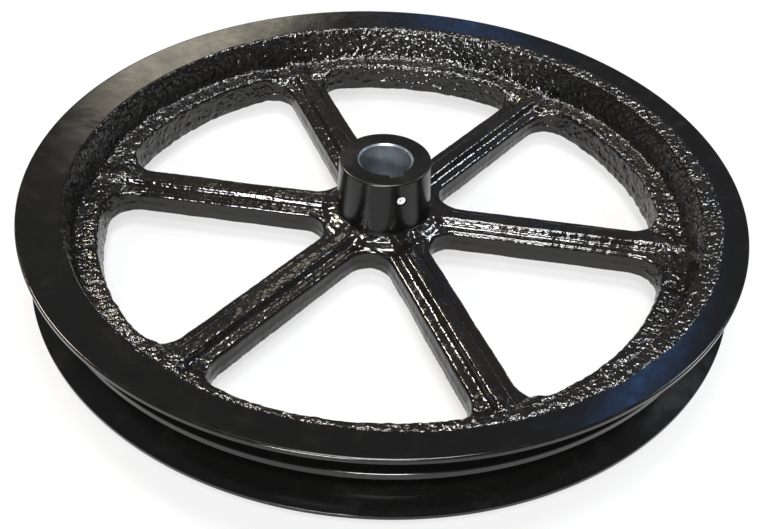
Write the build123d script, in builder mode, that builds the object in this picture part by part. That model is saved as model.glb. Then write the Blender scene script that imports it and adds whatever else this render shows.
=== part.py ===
"""Two-groove V belt pulley: one iron casting with six ribbed arms, and a set screw.

Millimetres. Z is the bore axis, z = 0 is the middle of the rim's width, and arm_1 lies along +X.
The casting is written as touching zones, each in its own node, so that the grooves, the windows
between the arms and the bore stay open in every node.
"""
import os
from math import cos, sin, tan, radians
from build123d import *

# Rim
RIM_OD = 407.0            # over the flanges
RIM_WIDTH = 44.0
GROOVE_PITCH = 18.6       # between the two groove centres
GROOVE_ANGLE = 38.0       # included angle
GROOVE_DEPTH = 17.0       # below the flanges
FLANGE_LAND = 2.8         # outer land of each flange
CREST_DROP = 7.3          # the centre rib's crest below the flanges
EDGE_CHAMFER = 0.7
FACE_DISH = 3.3           # the upper face falls this far towards the middle
LIP_INNER_R = 180.3       # inner edge of the as-cast lip beside the upper face
LIP_Z = 17.8
WALL_FOOT_R = 178.3       # inner wall of the rim where it meets the web ring

# Web ring, arms and boss
RING_TOP_Z = -3.0
RING_INNER_TOP_R = 163.5
RING_INNER_LOW_R = 162.0
WEB_LOW_Z = -21.5         # underside of the ring, arms and boss
ARM_COUNT = 6
ARM_TOP_Z = -8.0          # top of the arm's flat plate
ARM_WIDTH = 24.6
RIB_TOP_Z = -4.0
RIB_TOP_WIDTH = 8.6
RIB_BASE_WIDTH = 10.2
ARM_IN_R = 50.0           # the arm zones run from here
ARM_OUT_R = 146.0         # to here
RING_CORNER_R = 18.0      # window corners beside the rim
BOSS_R = 38.0
BOSS_CORNER_R = 8.0       # window corners beside the boss

# Hub
HUB_TOP_Z = 29.8
HUB_LOW_Z = -29.8
HUB_END_R = 26.3
HUB_BASE_R = 28.0
BOSS_TOP_Z = -4.5
BOSS_LOW_Z = WEB_LOW_Z
BORE_D = 30.0
BORE_CHAMFER = 1.0
KEY_WIDTH = 8.0
KEY_DEPTH = 3.3           # above the bore's wall
KEY_ANGLE = -60.0         # in line with arm_6

# Set screw
SCREW_D = 6.0
SCREW_HOLE_D = 6.1
SCREW_LENGTH = 8.0
SCREW_IN_R = 18.2         # its point, just clear of the keyway floor
SCREW_Z = 18.4
HEX_ACROSS = 3.0
HEX_DEPTH = 3.2

RO = RIM_OD / 2
HALF = RIM_WIDTH / 2
SLOPE = tan(radians(GROOVE_ANGLE / 2))
FLOOR_R = RO - GROOVE_DEPTH
CREST_R = RO - CREST_DROP
GROOVE_HALF_TOP = HALF - FLANGE_LAND - GROOVE_PITCH / 2
GROOVE_HALF_FLOOR = GROOVE_HALF_TOP - GROOVE_DEPTH * SLOPE
GROOVE_HALF_CREST = GROOVE_HALF_TOP - CREST_DROP * SLOPE
WALL_FOOT_Z = GROOVE_PITCH / 2 + GROOVE_HALF_FLOOR      # groove floor's outer corner
RIB_FOOT_Z = GROOVE_PITCH / 2 - GROOVE_HALF_FLOOR       # groove floor's inner corner
CREST_HALF = GROOVE_PITCH / 2 - GROOVE_HALF_CREST
LAND_Z = HALF - FLANGE_LAND
RIB = [(-RIB_BASE_WIDTH / 2, ARM_TOP_Z), (RIB_BASE_WIDTH / 2, ARM_TOP_Z),
       (RIB_TOP_WIDTH / 2, RIB_TOP_Z), (-RIB_TOP_WIDTH / 2, RIB_TOP_Z)]


def ring(points):
    """Turn a closed outline of (radius, z) points about the bore axis."""
    with BuildPart() as turned:
        with BuildSketch(Plane.XZ):
            with BuildLine():
                Polyline(*points, close=True)
            make_face()
        revolve(axis=Axis.Z)
    return turned.part


def bore_tool(low, high, chamfer_low=0.0, chamfer_high=0.0):
    """The bore with its keyway, from low to high, with optional mouth chamfers."""
    with BuildPart() as tool:
        with BuildSketch(Plane.XY.offset(low - 1)):
            Circle(BORE_D / 2)
            with Locations(Location((0, 0, 0), (0, 0, KEY_ANGLE))):
                with Locations((BORE_D / 4 + KEY_DEPTH / 2, 0)):
                    Rectangle(BORE_D / 2 + KEY_DEPTH, KEY_WIDTH)
        extrude(amount=high - low + 2)
        for end, size, sign in ((low, chamfer_low, -1), (high, chamfer_high, 1)):
            if size:
                with BuildSketch(Plane.XZ):
                    with BuildLine():
                        Polyline((0, end - sign * size), (BORE_D / 2, end - sign * size),
                                 (BORE_D / 2 + 2 * size, end + sign * size),
                                 (0, end + sign * size), close=True)
                    make_face()
                revolve(axis=Axis.Z)
    return tool.part


def windows(low, high):
    """The six openings between the arms, as one tool from low to high."""
    with BuildPart() as tool:
        with BuildSketch(Plane.XY.offset(low)) as plan:
            Circle(RING_INNER_LOW_R)
            Circle(BOSS_R, mode=Mode.SUBTRACT)
            with PolarLocations(0, ARM_COUNT):
                with Locations((RING_INNER_LOW_R / 2, 0)):
                    Rectangle(RING_INNER_LOW_R + 20, ARM_WIDTH, mode=Mode.SUBTRACT)
            outer = [v for v in plan.vertices() if Vector(v.X, v.Y, 0).length > 100]
            fillet(outer, RING_CORNER_R)
            inner = [v for v in plan.vertices()
                     if Vector(v.X, v.Y, 0).length < BOSS_R + 3]
            fillet(inner, BOSS_CORNER_R)
        extrude(amount=high - low)
    return tool.part


def bar(points, start, end, inner_r, outer_r):
    """A bar along +X with an outline of (y, z) points, kept between two radii."""
    with BuildPart() as kept:
        with BuildSketch(Plane.YZ.offset(start)):
            with BuildLine():
                Polyline(*points, close=True)
            make_face()
        extrude(amount=end - start)
        with BuildSketch(Plane.XY.offset(-HALF)):
            Circle(outer_r)
            Circle(inner_r, mode=Mode.SUBTRACT)
        extrude(amount=RIM_WIDTH, mode=Mode.INTERSECT)
    return kept.part


def node(shape, name):
    shape.label = name
    export_step(shape, "parts/" + name + ".step")
    print(name, "volume", round(shape.volume), "solids", len(shape.solids()))


os.makedirs("parts", exist_ok=True)
WINDOWS = windows(WEB_LOW_Z - 1, HALF)

# ---- Rim: two flanges, the rib between the grooves, and the barrel under the groove floors ----
with BuildPart() as upper_flange:
    add(ring([(FLOOR_R, WALL_FOOT_Z), (RO, LAND_Z),
              (RO, HALF - EDGE_CHAMFER), (RO - EDGE_CHAMFER, HALF),
              (FLOOR_R, HALF - FACE_DISH)]))
node(upper_flange.part, "upper_flange")

with BuildPart() as lower_flange:
    add(ring([(FLOOR_R, -WALL_FOOT_Z), (FLOOR_R, -HALF), (RO - EDGE_CHAMFER, -HALF),
              (RO, -HALF + EDGE_CHAMFER), (RO, -LAND_Z)]))
node(lower_flange.part, "lower_flange")

with BuildPart() as centre_rib:
    add(ring([(FLOOR_R, -RIB_FOOT_Z), (CREST_R, -CREST_HALF), (CREST_R, CREST_HALF),
              (FLOOR_R, RIB_FOOT_Z)]))
node(centre_rib.part, "centre_rib")

with BuildPart() as rim_barrel:
    add(ring([(WALL_FOOT_R, WEB_LOW_Z), (FLOOR_R - 1.0, WEB_LOW_Z), (FLOOR_R, -HALF),
              (FLOOR_R, HALF - FACE_DISH), (LIP_INNER_R + 1.5, LIP_Z), (LIP_INNER_R, LIP_Z - 1.5),
              (WALL_FOOT_R, RING_TOP_Z)]))
node(rim_barrel.part, "rim_barrel")

# ---- Web ring: inside the barrel, with the window corners that run out into the arms ----
with BuildPart() as web_ring:
    add(ring([(ARM_OUT_R, WEB_LOW_Z), (WALL_FOOT_R, WEB_LOW_Z), (WALL_FOOT_R, RING_TOP_Z),
              (RING_INNER_TOP_R + 1.5, RING_TOP_Z), (RING_INNER_LOW_R - 0.2, RING_TOP_Z - 2.5),
              (RING_INNER_LOW_R - 0.2, ARM_TOP_Z), (ARM_OUT_R, ARM_TOP_Z)]))
    add(WINDOWS, mode=Mode.SUBTRACT)
    with PolarLocations(0, ARM_COUNT):
        add(bar(RIB, ARM_OUT_R - 3, RING_INNER_TOP_R + 3, ARM_OUT_R, RIM_OD))
node(web_ring.part, "web_ring")

# ---- Arms: a flat plate with a rib along the middle of its top ----
for k in range(ARM_COUNT):
    with BuildPart() as arm:
        add(bar([(-ARM_WIDTH / 2, WEB_LOW_Z), (ARM_WIDTH / 2, WEB_LOW_Z),
                 (ARM_WIDTH / 2, ARM_TOP_Z), (RIB_BASE_WIDTH / 2, ARM_TOP_Z),
                 (RIB_TOP_WIDTH / 2, RIB_TOP_Z), (-RIB_TOP_WIDTH / 2, RIB_TOP_Z),
                 (-RIB_BASE_WIDTH / 2, ARM_TOP_Z), (-ARM_WIDTH / 2, ARM_TOP_Z)],
                ARM_IN_R - 3, ARM_OUT_R + 3, ARM_IN_R, ARM_OUT_R))
    node(Rot(0, 0, 360 / ARM_COUNT * k) * arm.part, "arm_%d" % (k + 1))

# ---- Hub: the as-cast boss between the arms, and the barrel above and below it ----
with BuildPart() as hub_boss:
    add(ring([(0, BOSS_LOW_Z), (ARM_IN_R, BOSS_LOW_Z), (ARM_IN_R, ARM_TOP_Z),
              (BOSS_R + 2, ARM_TOP_Z), (HUB_BASE_R + 1, BOSS_TOP_Z), (0, BOSS_TOP_Z)]))
    add(WINDOWS, mode=Mode.SUBTRACT)
    with PolarLocations(0, ARM_COUNT):
        add(bar(RIB, HUB_BASE_R - 3, ARM_IN_R + 3, HUB_BASE_R, ARM_IN_R))
    add(bore_tool(BOSS_LOW_Z, BOSS_TOP_Z), mode=Mode.SUBTRACT)
node(hub_boss.part, "hub_boss")

with BuildPart() as hub:
    add(ring([(0, BOSS_TOP_Z), (HUB_BASE_R, BOSS_TOP_Z), (HUB_END_R, HUB_TOP_Z - 0.8),
              (HUB_END_R - 0.8, HUB_TOP_Z), (0, HUB_TOP_Z)]))
    add(bore_tool(BOSS_TOP_Z, HUB_TOP_Z, chamfer_high=BORE_CHAMFER), mode=Mode.SUBTRACT)
    with Locations(Plane(origin=(0, 0, SCREW_Z),
                         z_dir=(cos(radians(KEY_ANGLE)), sin(radians(KEY_ANGLE)), 0))):
        Cylinder(SCREW_HOLE_D / 2, RO / 4, align=(Align.CENTER, Align.CENTER, Align.MIN),
                 mode=Mode.SUBTRACT)
node(hub.part, "hub")

with BuildPart() as hub_tail:
    add(ring([(0, HUB_LOW_Z), (HUB_END_R - 0.8, HUB_LOW_Z), (HUB_END_R, HUB_LOW_Z + 0.8),
              (HUB_BASE_R, BOSS_LOW_Z), (0, BOSS_LOW_Z)]))
    add(bore_tool(HUB_LOW_Z, BOSS_LOW_Z, chamfer_low=BORE_CHAMFER), mode=Mode.SUBTRACT)
node(hub_tail.part, "hub_tail")

# ---- Set screw: cup point inwards, hexagon socket outwards ----
with BuildPart() as set_screw:
    with Locations(Plane(origin=(SCREW_IN_R * cos(radians(KEY_ANGLE)),
                                 SCREW_IN_R * sin(radians(KEY_ANGLE)), SCREW_Z),
                         z_dir=(cos(radians(KEY_ANGLE)), sin(radians(KEY_ANGLE)), 0))):
        Cylinder(SCREW_D / 2, SCREW_LENGTH, align=(Align.CENTER, Align.CENTER, Align.MIN))
    chamfer(set_screw.edges().filter_by(GeomType.CIRCLE), 0.6)
    with BuildSketch(Plane(origin=((SCREW_IN_R + SCREW_LENGTH) * cos(radians(KEY_ANGLE)),
                                   (SCREW_IN_R + SCREW_LENGTH) * sin(radians(KEY_ANGLE)), SCREW_Z),
                           z_dir=(cos(radians(KEY_ANGLE)), sin(radians(KEY_ANGLE)), 0))):
        RegularPolygon(HEX_ACROSS / 2, 6, major_radius=False)
    extrude(amount=-HEX_DEPTH, mode=Mode.SUBTRACT)
node(set_screw.part, "set_screw")
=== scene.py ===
import math

import bmesh
import bpy
import numpy as np
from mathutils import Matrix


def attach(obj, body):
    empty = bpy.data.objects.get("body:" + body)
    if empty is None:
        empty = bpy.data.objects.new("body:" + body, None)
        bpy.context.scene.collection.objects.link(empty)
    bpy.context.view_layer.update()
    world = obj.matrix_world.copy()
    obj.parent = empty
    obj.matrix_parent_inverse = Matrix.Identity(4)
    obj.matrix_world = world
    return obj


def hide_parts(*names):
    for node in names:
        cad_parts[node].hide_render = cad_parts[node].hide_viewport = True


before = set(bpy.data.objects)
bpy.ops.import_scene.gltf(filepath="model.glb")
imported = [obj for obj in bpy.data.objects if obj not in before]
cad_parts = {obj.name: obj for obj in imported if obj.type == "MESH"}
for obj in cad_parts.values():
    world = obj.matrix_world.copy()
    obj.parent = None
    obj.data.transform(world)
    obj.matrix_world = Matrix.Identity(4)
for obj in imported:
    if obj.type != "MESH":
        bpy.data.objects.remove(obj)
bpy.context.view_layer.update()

import openvdb
from mathutils import Matrix, Vector, noise

MM = 0.001

# A two-groove V belt pulley: a cast web, a turned rim and hub, and a set screw.
# Sizes are in millimetres in the CAD model's frame: +Z is the bore axis, z = 0 the middle of the rim.
RIM_R = 203.5
RIM_HALF = 22.0
CORNER_R = 0.9            # rounding of the rim's outer corners
ARM_COUNT = 6
FLOOR_Z = -29.8           # the floor is level with the hub's lower end

# Cast web: the windows between the arms
WINDOW_OUT_R = 164.6
WINDOW_IN_R = 38.0
RING_CORNER_R = 18.0
BOSS_CORNER_R = 8.0
ARM_HALF = 12.3
DRAFT = 0.035             # the windows widen upward by this slope
ARM_FLARE = 0.35          # extra half width of an arm at its underside
RING_FLARE = 0.2          # the same for the ring
BOSS_FLARE = 0.3          # and for the boss
PARTING_Z = -15.6
FIN_HEIGHT = 0.45         # of the thin fin left along the parting line
FIN_SPREAD = 1.1

# Cast web: heights
PLATE_Z = -8.0
WEB_LOW_Z = -21.5
RIB_Z = -4.0
RIB_HALF = 4.3
RIB_FLARE = 0.22          # slope of the rib's sides
RIB_RISE = 0.006          # the rib's top climbs outward
RIB_OUT_R = 184.0
LEDGE_Z = -5.3            # the ledge inside the rim, where it meets an arm
LEDGE_RISE = 2.6          # it lies this much higher between the arms
LEDGE_IN_R = 158.5
BOSS_OUT_R = 34.0
FOOT_R = 28.6             # the hub's cast foot below the web
FOOT_LOW_Z = -25.0
CORE_R = 24.0             # the casting is left hollow here, inside the turned hub

# Cast web: the rim's inner wall and its rough lip, a little off centre from the turned face
WALL_FOOT_R = 177.2
WALL_R = 177.4
WALL_TOP = (180.2, 15.9)
LIP_TOP = (181.3, 20.0)
CAST_OUT_R = 194.0        # hidden inside the turned rim
DISH_SLOPE = 0.2036       # of the turned face
LIP_MEAN_R = 185.6
LIP_SHIFT = 5.2
LIP_TURN = math.radians(7)
LIP_HEIGHT = 0.45         # of the lip above the turned face
VOXEL = 1.25

# Hub and set screw
HUB_HALF = 29.8
HUB_END_R = 26.3
HUB_BASE_R = 28.0
BORE_R = 15.0
KEY_HALF = 4.0
KEY_TOP = 18.3            # from the bore's axis to the keyway's floor
KEY_ANGLE = math.radians(-60)
SCREW_Z = 18.4
SCREW_HOLE_R = 3.05
SCREW_IN_R = 18.2
SCREW_OUT_R = 26.2
THREAD_LOW_R = 2.55
THREAD_HIGH_R = 2.97
HEX_HALF = 1.5            # half the width across the socket's flats
HEX_DEPTH = 3.2

# Camera
CAMERA_PLACE = (0.05477, -0.42362, 0.32607)
CAMERA_HEIGHT = math.radians(41.43)
CAMERA_ROLL = math.radians(2.66)
CAMERA_TURN = math.radians(7.3)
CAMERA_LENS = 42.59


# ---------------------------------------------------------------- shapes of the casting

def both(a, b, radius=0.0):
    """Distance to what two shapes share, with the edge between them rounded."""
    if radius <= 0:
        return np.maximum(a, b)
    reach = np.hypot(np.maximum(a + radius, 0), np.maximum(b + radius, 0))
    return np.minimum(-radius, np.maximum(a, b)) + reach


def either(a, b, radius=0.0):
    """Distance to two shapes joined, with the corner between them filleted."""
    return -both(-a, -b, radius)


def convex(r, z, points, rounding=0.8):
    """Distance to a convex profile turned about Z. The points run clockwise in r, z."""
    d = None
    for (r0, z0), (r1, z1) in zip(points, points[1:] + points[:1]):
        dr, dz = r1 - r0, z1 - z0
        length = math.hypot(dr, dz)
        side = ((r - r0) * -dz + (z - z0) * dr) / length
        d = side if d is None else both(d, side, rounding)
    return d


def dish_z(r):
    """Height of the turned, slightly dished top face of the rim."""
    return RIM_HALF - DISH_SLOPE * (RIM_R - CORNER_R - r)


def casting_distance(x, y, z):
    """Signed distance in mm to the cast web: inner wall and lip of the rim, ring, arms and boss."""
    r = np.hypot(x, y)
    turn = np.arctan2(y, x)
    step = 2 * math.pi / ARM_COUNT
    turn = (turn + step / 2) % step - step / 2
    across = np.abs(r * np.sin(turn))

    # Windows, with draft and the parting line's fin on their sides
    draft = DRAFT * (z - WEB_LOW_Z)
    fin = FIN_HEIGHT * np.exp(-(((z - PARTING_Z) / FIN_SPREAD) ** 2))
    arm_edge = ARM_HALF + ARM_FLARE - draft + fin
    window = both(arm_edge - across, r - (WINDOW_OUT_R - RING_FLARE + draft - fin), RING_CORNER_R)
    window = both(window, WINDOW_IN_R + BOSS_FLARE - draft + fin - r, BOSS_CORNER_R)

    # Top side: the arms' plates, the ledge inside the rim, the ribs and the coned boss
    plate = z - PLATE_Z
    rib_side = across - RIB_HALF - RIB_FLARE * (RIB_Z - z)
    rib = both(rib_side, z - RIB_Z - RIB_RISE * (r - 100), 0.9)
    rib = both(rib, r - RIB_OUT_R)
    beside = np.clip((across - 8.0) / 30.0, 0, 1)
    beside = beside * beside * (3 - 2 * beside)
    ledge = (z - LEDGE_Z - LEDGE_RISE * beside) * 0.97
    ledge = both(ledge, LEDGE_IN_R - r, 6.0)
    boss = both(r - BOSS_OUT_R, (z + 4.6) * 0.9 + (r - 29.5) * 0.36, 1.5)
    top = either(np.minimum(plate, ledge), rib, 2.2)
    top = either(top, boss, 4.0)

    # Web, flat underneath, and the hub's foot below it
    web = both(-window, top, 1.5)
    web = both(web, WEB_LOW_Z - z, 1.2)
    foot = both(r - FOOT_R, FOOT_LOW_Z - z, 0.5)
    foot = both(foot, z + 20)
    web = either(web, foot, 3.0)

    # The rim's inner wall, with a lip whose edge on the turned face lies off centre
    barrel = convex(r, z, [
        (WALL_FOOT_R, WEB_LOW_Z + 3), (WALL_R, -3.0), WALL_TOP, LIP_TOP, (CAST_OUT_R, LIP_TOP[1]),
        (CAST_OUT_R, WEB_LOW_Z + 3),
    ])
    lip_edge = LIP_MEAN_R + LIP_SHIFT * np.cos(np.arctan2(y, x) - LIP_TURN)
    inside = lip_edge - r
    lip = np.minimum(0.5 * inside, LIP_HEIGHT + 0.03 * inside)
    barrel = both(barrel, z - dish_z(r) - lip, 0.4)
    web = either(web, barrel, 3.5)

    # Kept inside the turned rim and out of the turned hub
    web = both(web, r - np.interp(z, [14.0, 16.5], [186.0, 193.5]))
    return both(web, CORE_R - r)


def build_casting():
    """The cast web as one closed mesh, from its distance on a regular grid of points."""
    steps = int(math.ceil(193 / VOXEL))
    axis = np.arange(-steps, steps + 1) * VOXEL
    heights = np.arange(-28.0, 22.0, VOXEL)
    x, y, z = np.meshgrid(axis, axis, heights, indexing="ij")
    field = casting_distance(x, y, z).astype(np.float32)
    band = 4 * VOXEL
    grid = openvdb.FloatGrid(float(band))
    grid.copyFromArray(np.clip(field, -band, band))
    points, quads = grid.convertToQuads(isovalue=0.0)
    points = np.asarray(points, float) * VOXEL + np.array([axis[0], axis[0], heights[0]])
    mesh = bpy.data.meshes.new("cast_web")
    mesh.from_pydata(points * MM, [], np.asarray(quads)[:, ::-1].tolist())
    mesh.update()
    return mesh


def roughen(mesh):
    """Moves the points of the casting in and out by the grain of a sand mould."""
    normals = np.zeros(len(mesh.vertices) * 3, np.float32)
    mesh.vertex_normals.foreach_get("vector", normals)
    normals = normals.reshape(-1, 3)
    co = np.zeros(len(mesh.vertices) * 3, np.float32)
    mesh.vertices.foreach_get("co", co)
    co = co.reshape(-1, 3)
    push = np.zeros(len(co), np.float32)
    for i, p in enumerate(co):
        v = Vector(p) / MM
        r = math.hypot(v.x, v.y)
        # Coarsest on the ring and the rim's wall, finer on the arms and on the lip
        coarse = 0.3 + 0.7 * min(max((r - 150) / 14, 0), 1)
        coarse *= 1 - 0.55 * min(max((r - 180) / 4, 0), 1)
        grain = 0.55 * noise.noise(v * 0.26)
        grit = 0.12 * noise.noise(v * 0.6 + Vector((7, 3, 1)))
        waves = 0.35 * noise.noise(v * 0.06 + Vector((1, 5, 9)))
        push[i] = coarse * (grain + grit) + waves
    co += normals * push[:, None] * MM
    mesh.vertices.foreach_set("co", co.ravel())
    mesh.update()


# ---------------------------------------------------------------- turned pieces

def arc(centre, radius, start, end, steps=4):
    """Points of a rounded edge in a profile, angles in degrees."""
    return [
        (
            centre[0] + radius * math.cos(math.radians(start + (end - start) * i / steps)),
            centre[1] + radius * math.sin(math.radians(start + (end - start) * i / steps)),
        )
        for i in range(steps + 1)
    ]


def held(profile, margin=0.35):
    """The profile with a point close to each end of its long sides, so that flats shade flat."""
    points = []
    for (r0, z0), (r1, z1) in zip(profile, profile[1:] + profile[:1]):
        points.append((r0, z0))
        length = math.hypot(r1 - r0, z1 - z0)
        if length > 4 * margin:
            for t in (margin / length, 1 - margin / length):
                points.append((r0 + (r1 - r0) * t, z0 + (z1 - z0) * t))
    return points


def turned(name, profile, segments):
    """A closed profile of (r, z) in mm turned about Z."""
    profile = held(profile)
    mesh = bpy.data.meshes.new(name)
    n = len(profile)
    verts = [
        (r * math.cos(t) * MM, r * math.sin(t) * MM, z * MM)
        for t in (2 * math.pi * k / segments for k in range(segments))
        for r, z in profile
    ]
    faces = [
        (
            k * n + i,
            ((k + 1) % segments) * n + i,
            ((k + 1) % segments) * n + (i + 1) % n,
            k * n + (i + 1) % n,
        )
        for k in range(segments)
        for i in range(n)
    ]
    mesh.from_pydata(verts, [], faces)
    fix_normals(mesh)
    return piece(name, mesh)


def fix_normals(mesh):
    """Turns every face outward."""
    bm = bmesh.new()
    bm.from_mesh(mesh)
    bmesh.ops.recalc_face_normals(bm, faces=bm.faces)
    bm.to_mesh(mesh)
    bm.free()
    mesh.update()


def piece(name, mesh):
    """A new object in the scene."""
    obj = bpy.data.objects.new(name, mesh)
    bpy.context.scene.collection.objects.link(obj)
    return obj


def smooth(obj, angle=28):
    """Smooth shading, with the edges sharper than the angle kept crisp."""
    mesh = obj.data
    mesh.polygons.foreach_set("use_smooth", [True] * len(mesh.polygons))
    bm = bmesh.new()
    bm.from_mesh(mesh)
    for e in bm.edges:
        if len(e.link_faces) == 2:
            e.smooth = e.calc_face_angle(0) < math.radians(angle)
    bm.to_mesh(mesh)
    bm.free()


def cut(obj, tool):
    """Takes the tool's shape out of the piece and removes the tool."""
    mod = obj.modifiers.new("cut", "BOOLEAN")
    mod.operation = "DIFFERENCE"
    mod.solver = "EXACT"
    mod.object = tool
    dg = bpy.context.evaluated_depsgraph_get()
    mesh = bpy.data.meshes.new_from_object(obj.evaluated_get(dg))
    obj.modifiers.clear()
    obj.data = mesh
    bpy.data.objects.remove(tool)


def solid_box(size, place):
    """A closed box of that size in mm, put in place by a matrix."""
    bm = bmesh.new()
    bmesh.ops.create_cube(bm, size=1.0)
    bmesh.ops.scale(bm, vec=Vector(size) * MM, verts=bm.verts)
    bmesh.ops.transform(bm, matrix=place, verts=bm.verts)
    mesh = bpy.data.meshes.new("tool")
    bm.to_mesh(mesh)
    bm.free()
    return piece("tool", mesh)


def along(angle, radius, height):
    """A place on a radial line: its local Z points outward at that angle."""
    place = Matrix.Rotation(angle, 4, "Z") @ Matrix.Translation(
        Vector((radius, 0, height)) * MM
    )
    return place @ Matrix.Rotation(math.pi / 2, 4, "Y")


def build_rim():
    """The turned rim: dished top face, two belt grooves and the recessed rib between them."""
    def groove(sign):
        """From the rim's edge to the centre rib's crest: upper groove for 1, lower for -1."""
        return [
            (RIM_R, sign * 19.2), (RIM_R - 0.15, sign * 19.0),
            (187.2, sign * 13.55), (186.7, sign * 13.2), (186.5, sign * 12.7),
            (186.5, sign * 5.9), (186.7, sign * 5.4), (187.2, sign * 5.05),
            (195.7, sign * 2.1), (196.1, sign * 1.85), (196.2, sign * 1.6),
        ]
    corner = arc((RIM_R - CORNER_R, RIM_HALF - 1.0), CORNER_R, 90, 0, 5)
    low_corner = [(r, -z) for r, z in reversed(corner)]
    profile = (
        [(185.2, 12.0), (181.5, 15.0), (181.1, dish_z(181.1) - 0.15), (181.4, dish_z(181.4))]
        + corner
        + groove(1)
        + list(reversed(groove(-1)))
        + low_corner
        + [(196.0, -RIM_HALF), (187.0, -RIM_HALF), (186.2, -21.7), (185.4, -21.0), (185.2, -10.0)]
    )
    return turned("turned_rim", profile, 540)


def build_hub():
    """The turned hub with its bore, keyway and radial screw hole."""
    half = HUB_HALF
    upper = (
        [(BORE_R, half - 1.0), (BORE_R + 0.95, half - 0.05), (BORE_R + 1.3, half)]
        + arc((HUB_END_R - 0.8, half - 0.8), 0.8, 90, 2, 5)
        + [(27.1, 14.0), (27.85, -2.6), (HUB_BASE_R, -3.1)]
        + [(28.5, -3.25), (28.75, -3.6), (28.8, -5.6)]
    )
    lower = [(HUB_BASE_R, -7.0), (HUB_BASE_R, -24.0), (27.4, -25.5)] + arc(
        (HUB_END_R - 0.7, 0.8 - half), 0.8, 0, -90, 5
    ) + [(BORE_R + 1.3, -half), (BORE_R + 0.95, 0.05 - half), (BORE_R, 1.0 - half)]
    hub = turned("turned_hub", upper + lower, 192)
    inside_r = 8.0        # the keyway's tool starts here, within the bore
    key = solid_box(
        (2 * half + 4, 2 * KEY_HALF, KEY_TOP - inside_r),
        along(KEY_ANGLE, (KEY_TOP + inside_r) / 2, 0),
    )
    cut(hub, key)
    bm = bmesh.new()
    hole_r = SCREW_HOLE_R * MM
    bmesh.ops.create_cone(
        bm, cap_ends=True, segments=48, radius1=hole_r, radius2=hole_r, depth=16 * MM
    )
    bmesh.ops.transform(bm, matrix=along(KEY_ANGLE, 24.0, SCREW_Z), verts=bm.verts)
    mesh = bpy.data.meshes.new("tool")
    bm.to_mesh(mesh)
    bm.free()
    cut(hub, piece("tool", mesh))
    return hub


def build_screw():
    """An M6 set screw with thread ridges and a hexagon socket in its outer end."""
    length = SCREW_OUT_R - SCREW_IN_R
    outline = [(2.2, 0.0), (THREAD_LOW_R, 0.25)]
    for k in range(int(length - 1.2)):
        low = 0.6 + k
        outline += [
            (THREAD_LOW_R, low), (THREAD_HIGH_R, low + 0.42),
            (THREAD_HIGH_R, low + 0.55), (THREAD_LOW_R, low + 0.95),
        ]
    outline += [(THREAD_LOW_R, length - 0.35), (2.3, length - 0.05), (2.15, length)]
    segments = 48
    bm = bmesh.new()
    rows = []
    for r, h in outline:
        rows.append([
            bm.verts.new((
                r * math.cos(2 * math.pi * k / segments),
                r * math.sin(2 * math.pi * k / segments),
                h,
            ))
            for k in range(segments)
        ])
    for a, b in zip(rows, rows[1:]):
        for k in range(segments):
            j = (k + 1) % segments
            bm.faces.new((a[k], a[j], b[j], b[k]))
    bm.faces.new(list(reversed(rows[0])))

    def hexagon(height):
        """The socket's outline, with as many points as the thread's rows."""
        ring = []
        for k in range(segments):
            t = 2 * math.pi * k / segments
            near = (t % (math.pi / 3)) - math.pi / 6
            reach = HEX_HALF / math.cos(near)
            ring.append(bm.verts.new((reach * math.cos(t), reach * math.sin(t), height)))
        return ring

    mouth, end = hexagon(length - 0.02), hexagon(length - HEX_DEPTH)
    for a, b in ((rows[-1], mouth), (mouth, end)):
        for k in range(segments):
            j = (k + 1) % segments
            bm.faces.new((a[k], a[j], b[j], b[k]))
    corner_r = HEX_HALF / math.cos(math.pi / 6)
    tip = bm.verts.new((0, 0, length - HEX_DEPTH - 0.5 * corner_r))
    for k in range(segments):
        bm.faces.new((end[k], end[(k + 1) % segments], tip))
    bmesh.ops.scale(bm, vec=(MM, MM, MM), verts=bm.verts)
    bmesh.ops.transform(bm, matrix=along(KEY_ANGLE, SCREW_IN_R, SCREW_Z), verts=bm.verts)
    bmesh.ops.recalc_face_normals(bm, faces=bm.faces)
    mesh = bpy.data.meshes.new("set_screw_m6")
    bm.to_mesh(mesh)
    bm.free()
    return piece("set_screw_m6", mesh)


# ---------------------------------------------------------------- materials

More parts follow.
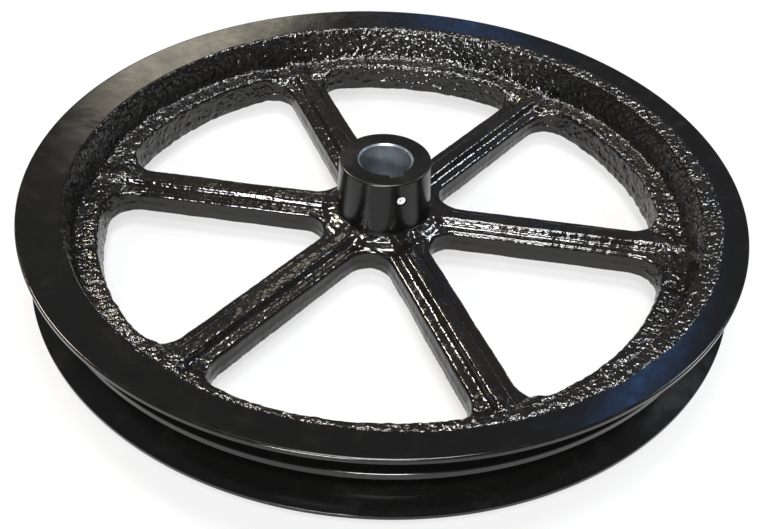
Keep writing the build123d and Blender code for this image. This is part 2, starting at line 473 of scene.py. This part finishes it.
class Nodes:
    """A short way to write a node tree."""

    def __init__(self, name):
        self.material = bpy.data.materials.new(name)
        self.material.use_nodes = True
        self.tree = self.material.node_tree
        self.shader = self.tree.nodes["Principled BSDF"]
        self.place = self.tree.nodes.new("ShaderNodeTexCoord").outputs["Object"]

    def add(self, kind, inputs=None, **settings):
        """A new node. Its inputs are values, or outputs of other nodes to link."""
        node = self.tree.nodes.new(kind)
        for key, value in settings.items():
            setattr(node, key, value)
        for key, value in (inputs or {}).items():
            if isinstance(value, bpy.types.NodeSocket):
                self.tree.links.new(value, node.inputs[key])
            else:
                node.inputs[key].default_value = value
        return node

    def noise(self, scale, detail=3.0, roughness=0.55, place=None):
        """Fractal noise in object space."""
        node = self.add(
            "ShaderNodeTexNoise",
            {"Vector": place or self.place, "Scale": scale, "Detail": detail,
             "Roughness": roughness},
        )
        return node.outputs["Fac"]

    def cells(self, scale, smoothness):
        """Rounded pebbles in object space."""
        node = self.add(
            "ShaderNodeTexVoronoi",
            {"Vector": self.place, "Scale": scale, "Smoothness": smoothness},
            feature="SMOOTH_F1",
        )
        return node.outputs["Distance"]

    def spread(self, value, low, high, to_low, to_high):
        """The value mapped from one range to another."""
        node = self.add(
            "ShaderNodeMapRange",
            {"Value": value, "From Min": low, "From Max": high, "To Min": to_low,
             "To Max": to_high},
        )
        return node.outputs["Result"]

    def times(self, a, b):
        return self.add("ShaderNodeMath", {0: a, 1: b}, operation="MULTIPLY").outputs[0]

    def ramp(self, value, stops):
        """A colour between stops of (position, colour)."""
        node = self.add("ShaderNodeValToRGB", {"Fac": value})
        ramp = node.color_ramp
        while len(ramp.elements) < len(stops):
            ramp.elements.new(0.5)
        for element, (position, colour) in zip(ramp.elements, stops):
            element.position = position
            element.color = (*colour, 1.0)
        return node.outputs["Color"]

    def bump(self, height, distance, strength=1.0, below=None):
        """A bumped normal, on top of another one if it is given."""
        inputs = {"Height": height, "Distance": distance, "Strength": strength}
        if below is not None:
            inputs["Normal"] = below
        return self.add("ShaderNodeBump", inputs).outputs["Normal"]

    def set(self, **values):
        """Sets or links the shader's inputs, with _ for a space in their names."""
        for key, value in values.items():
            socket = self.shader.inputs[key.replace("_", " ")]
            if isinstance(value, bpy.types.NodeSocket):
                self.tree.links.new(value, socket)
            else:
                socket.default_value = value


def cast_enamel():
    """Gloss black enamel over a sand-cast skin, coarser at the rim than on the arms."""
    n = Nodes("cast_enamel")
    fine = n.cells(380, 0.7)
    grit = n.noise(650, 1.0)
    lumps = n.noise(190, 1.5)
    patches = n.noise(22, 3.0)
    colour = n.ramp(patches, [(0.35, (0.0020, 0.0019, 0.0018)), (0.7, (0.0050, 0.0040, 0.0030))])
    flat = n.add("ShaderNodeVectorMath", {0: n.place, 1: (1, 1, 0)}, operation="MULTIPLY")
    radius = n.add("ShaderNodeVectorMath", {0: flat.outputs["Vector"]}, operation="LENGTH")
    grain = n.spread(radius.outputs["Value"], 0.148, 0.168, 0.17, 1.0)
    normal = n.bump(n.times(lumps, grain), 0.0016, 1.0)
    normal = n.bump(n.times(fine, grain), 0.0008, 1.0, normal)
    normal = n.bump(n.times(grit, grain), 0.0004, 1.0, normal)
    n.set(
        Base_Color=colour,
        Roughness=n.spread(patches, 0.3, 0.7, 0.10, 0.17),
        Normal=normal,
    )
    n.shader.inputs["Specular IOR Level"].default_value = 0.45
    return n.material


def turned_enamel(name, roughness, anisotropic):
    """Gloss black enamel over a turned surface."""
    n = Nodes(name)
    patches = n.noise(14, 3.0)
    peel = n.noise(160, 2.0)
    scuffs = n.noise(75, 5.0, 0.7)
    colour = n.ramp(scuffs, [(0.55, (0.0022, 0.0021, 0.0020)), (0.85, (0.0060, 0.0055, 0.0050))])
    normal = n.bump(patches, 0.002, 0.1)
    normal = n.bump(peel, 0.0001, 0.3, normal)
    n.set(
        Base_Color=colour,
        Roughness=n.spread(scuffs, 0.35, 0.8, roughness, roughness + 0.1),
        Normal=normal,
    )
    n.shader.inputs["Specular IOR Level"].default_value = 0.34
    if anisotropic:
        n.shader.inputs["Anisotropic"].default_value = anisotropic
        tangent = n.add("ShaderNodeTangent", direction_type="RADIAL", axis="Z")
        n.tree.links.new(tangent.outputs["Tangent"], n.shader.inputs["Tangent"])
    return n.material


def bare_metal():
    """The bare turned metal of the bore."""
    n = Nodes("bore_metal")
    stretched = n.add(
        "ShaderNodeMapping", {"Vector": n.place, "Scale": (12, 12, 900)}
    ).outputs["Vector"]
    lines = n.noise(3.0, 3.0, place=stretched)
    stains = n.noise(90, 4.0)
    colour = n.ramp(stains, [(0.3, (0.20, 0.24, 0.28)), (0.75, (0.36, 0.38, 0.40))])
    n.set(
        Base_Color=colour,
        Metallic=0.9,
        Roughness=n.spread(stains, 0.3, 0.7, 0.3, 0.44),
        Normal=n.bump(lines, 0.0002, 0.25),
    )
    return n.material


def zinc():
    """Bright zinc plating of the set screw."""
    n = Nodes("zinc_plate")
    speckle = n.noise(900, 3.0)
    colour = n.ramp(speckle, [(0.3, (0.62, 0.63, 0.64)), (0.7, (0.84, 0.85, 0.86))])
    n.set(
        Base_Color=colour,
        Metallic=0.35,
        Roughness=n.spread(speckle, 0.3, 0.7, 0.3, 0.44),
        Normal=n.bump(speckle, 0.0001, 0.4),
    )
    return n.material


def floor_paint():
    """A white floor that stays white in the open and still takes soft shadows."""
    n = Nodes("floor_paint")
    haze = n.noise(3.0, 2.0)
    n.set(
        Base_Color=n.ramp(haze, [(0.3, (0.10, 0.10, 0.10)), (0.7, (0.12, 0.12, 0.12))]),
        Roughness=0.9,
        Emission_Color=(1.0, 1.0, 1.0, 1.0),
        Emission_Strength=0.7,
    )
    n.shader.inputs["Specular IOR Level"].default_value = 0.1
    return n.material


# ---------------------------------------------------------------- the pieces

cast_mesh = build_casting()
roughen(cast_mesh)
cast_mesh.polygons.foreach_set("use_smooth", [True] * len(cast_mesh.polygons))
cast_web = piece("cast_web", cast_mesh)
cast_mesh.materials.append(cast_enamel())
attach(cast_web, "pulley")
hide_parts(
    "rim_barrel", "web_ring", "hub_boss",
    *[f"arm_{k + 1}" for k in range(ARM_COUNT)],
)

rim = build_rim()
smooth(rim)
rim.data.materials.append(turned_enamel("rim_enamel", 0.1, 0))
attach(rim, "pulley")
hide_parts("upper_flange", "lower_flange", "centre_rib")

hub = build_hub()
smooth(hub)
hub.data.materials.clear()
hub.data.materials.append(turned_enamel("hub_enamel", 0.16, 0.6))
hub.data.materials.append(bare_metal())
for face in hub.data.polygons:
    out = math.hypot(face.center.x, face.center.y) / MM
    on_end = abs(face.center.z) / MM > HUB_HALF - 0.3
    if out < KEY_TOP + 0.05 and not on_end and abs(face.normal.z) < 0.9:
        face.material_index = 1
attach(hub, "pulley")
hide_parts("hub", "hub_tail")

screw = build_screw()
smooth(screw, 35)
screw.data.materials.append(zinc())
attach(screw, "screw")
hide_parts("set_screw")


# ---------------------------------------------------------------- floor, light and camera

floor_half = 6.0          # metres
floor_mesh = bpy.data.meshes.new("floor")
floor_corners = [(a * floor_half, b * floor_half, 0) for a, b in ((-1, -1), (1, -1), (1, 1), (-1, 1))]
floor_mesh.from_pydata(floor_corners, [], [(0, 1, 2, 3)])
floor = piece("floor", floor_mesh)
floor.location.z = FLOOR_Z * MM
floor_mesh.materials.append(floor_paint())


def area_light(name, place, size, power, colour=(1, 1, 1)):
    """A rectangular light aimed at the middle of the pulley. Places and sizes are in metres."""
    lamp = bpy.data.lights.new(name, "AREA")
    lamp.shape = "RECTANGLE"
    lamp.size, lamp.size_y = size
    lamp.energy = power
    lamp.color = colour
    obj = bpy.data.objects.new(name, lamp)
    obj.location = place
    obj.rotation_mode = "QUATERNION"
    obj.rotation_quaternion = (-Vector(place)).to_track_quat("-Z", "Y")
    bpy.context.scene.collection.objects.link(obj)


WARM, PALE_WARM = (1.0, 0.90, 0.74), (1.0, 0.92, 0.74)
COOL, BLUE = (0.84, 0.93, 1.0), (0.12, 0.38, 1.0)
area_light("key", (0.18, -0.95, 1.75), (0.4, 0.3), 34)
area_light("overhead", (0.0, 0.35, 2.0), (0.7, 0.5), 60)
area_light("front_fill", (-0.3, -2.2, 0.85), (0.8, 0.4), 100)
area_light("side_left", (-1.39, 0.97, 1.7), (0.5, 0.35), 42, WARM)
area_light("side_right", (1.3, 1.09, 1.7), (0.5, 0.4), 25, COOL)
area_light("back_warm", (-0.52, 1.88, 1.89), (0.3, 0.2), 1.5, PALE_WARM)
area_light("back_blue_low", (0.19, 2.04, 1.40), (0.1, 0.08), 0.12, BLUE)
area_light("back_blue_high", (-0.16, 1.92, 1.97), (0.1, 0.08), 0.1, BLUE)

world = bpy.data.worlds.new("studio")
world.use_nodes = True
background = world.node_tree.nodes["Background"]
background.inputs["Color"].default_value = (0.93, 0.96, 1.0, 1.0)
background.inputs["Strength"].default_value = 0.17
bpy.context.scene.world = world

scene = bpy.context.scene
scene.view_settings.view_transform = "Standard"

# The camera looks down at CAMERA_HEIGHT above the horizon, then rolls, then turns about Z.
camera_data = bpy.data.cameras.new("camera")
camera_data.sensor_width = 36.0
camera_data.sensor_fit = "HORIZONTAL"
camera_data.lens = CAMERA_LENS
camera_data.clip_start = 0.01
camera = bpy.data.objects.new("camera", camera_data)
scene.collection.objects.link(camera)
right = Vector((1, 0, 0))
back = Vector((0, -math.cos(CAMERA_HEIGHT), math.sin(CAMERA_HEIGHT)))
up = back.cross(right)
roll_cos, roll_sin = math.cos(CAMERA_ROLL), math.sin(CAMERA_ROLL)
axes = Matrix((
    roll_cos * right + roll_sin * up,
    roll_cos * up - roll_sin * right,
    back,
)).transposed()
camera.matrix_world = (
    Matrix.Translation(CAMERA_PLACE) @ Matrix.Rotation(CAMERA_TURN, 4, "Z") @ axes.to_4x4()
)
scene.camera = camera
